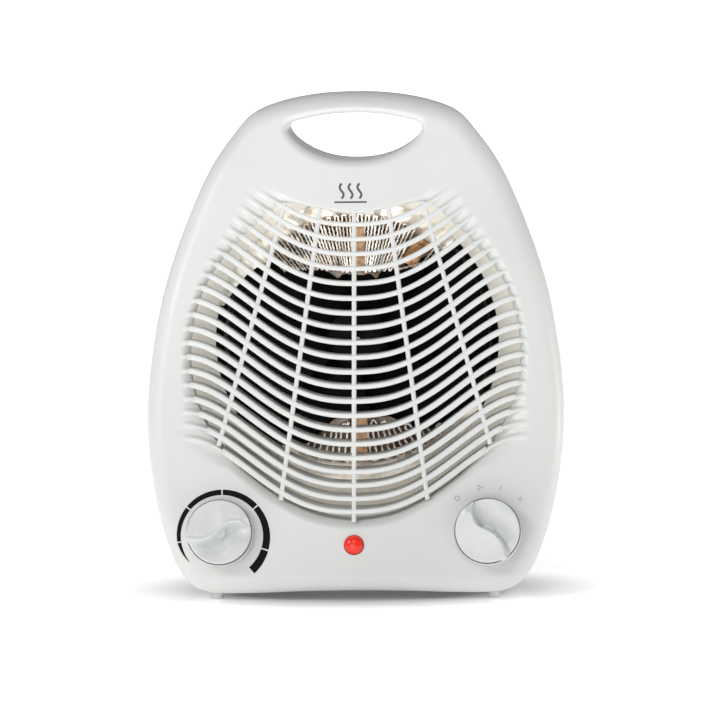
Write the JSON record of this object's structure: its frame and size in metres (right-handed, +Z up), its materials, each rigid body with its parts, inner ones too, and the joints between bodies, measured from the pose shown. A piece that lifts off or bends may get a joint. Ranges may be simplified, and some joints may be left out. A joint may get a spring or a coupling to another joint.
{
  "type": "fan convector heater",
  "caption": "Upright portable fan heater with a tapering rounded case, built-in carrying handle, wavy slatted outlet, heating wire, axial fan, thermostat and heat selector knobs.",
  "frame": {"origin": "on the floor under the middle of the heater's box", "axes": "+Z up, -Y out of the air outlet, +X towards the heat selector knob"},
  "size_m": [0.2152, 0.1232, 0.2571],
  "materials": {
    "case_white": "semi-gloss moulded",
    "knob_white": "semi-gloss moulded",
    "foot_grey": "matt",
    "gland_grey": "matt",
    "screw_steel": "zinc plated",
    "liner_ivory": "matt heat-resistant",
    "mica_white": "flaky mica board",
    "mica_brown": "flaky mica board",
    "heating_wire": "oxidised resistance ribbon",
    "fan_black": "satin moulded",
    "motor_steel": "laminated and plated",
    "coil_copper": "enamelled copper wire",
    "brass": "plain",
    "lens_red": "clear red moulded",
    "neon_glass": "clear"
  },
  "bodies": {
    "housing": {"front_shell": "case_white", "rear_shell": "case_white", "foot_front_left": "foot_grey", "foot_front_right": "foot_grey", "foot_rear_left": "foot_grey", "foot_rear_right": "foot_grey", "case_screw_lower_left": "screw_steel", "case_screw_lower_right": "screw_steel", "case_screw_middle_left": "screw_steel", "case_screw_middle_right": "screw_steel", "case_screw_upper_left": "screw_steel", "case_screw_upper_right": "screw_steel", "cord_gland": "gland_grey", "duct_liner": "liner_ivory", "upper_mica_board": "mica_white", "lower_mica_board": "mica_white", "upper_heating_wire": "heating_wire", "lower_heating_wire": "heating_wire", "upper_mica_post": "mica_brown", "lower_mica_post": "mica_brown", "thermal_cutout": "mica_brown", "thermal_fuse": "screw_steel", "fan_shroud": "fan_black", "motor_stator": "motor_steel", "motor_coil": "coil_copper", "front_bearing": "brass", "rear_bearing": "brass", "front_bearing_bracket": "motor_steel", "rear_bearing_bracket": "motor_steel", "thermostat_body": "liner_ivory", "thermostat_bimetal_blade": "brass", "thermostat_contact_arm": "brass", "selector_body": "fan_black", "selector_terminal_1": "brass", "selector_terminal_2": "brass", "selector_terminal_3": "brass", "selector_terminal_4": "brass", "pilot_lens": "lens_red", "pilot_neon": "neon_glass", "terminal_block": "liner_ivory"},
    "fan": {"fan_impeller": "fan_black", "motor_shaft": "screw_steel", "motor_rotor": "motor_steel"},
    "thermostat_dial": {"thermostat_knob": "knob_white", "thermostat_spindle": "screw_steel"},
    "selector_dial": {"selector_knob": "knob_white", "selector_spindle": "screw_steel"}
  },
  "joints": [
    {"name": "fan_spin", "type": "hinge", "parent": "housing", "child": "fan", "pos_m": [0, 0.0186, 0.128], "axis": [0, -1, 0], "continuous": true},
    {"name": "thermostat_turn", "type": "hinge", "parent": "housing", "child": "thermostat_dial", "pos_m": [-0.0683, -0.04396, 0.0342], "axis": [0, -0.9703, 0.2419], "range_deg": [-65.5, 203]},
    {"name": "selector_turn", "type": "hinge", "parent": "housing", "child": "selector_dial", "pos_m": [0.0683, -0.04396, 0.0342], "axis": [0, -0.9703, 0.2419], "range_deg": [-85, 0]}
  ]
}
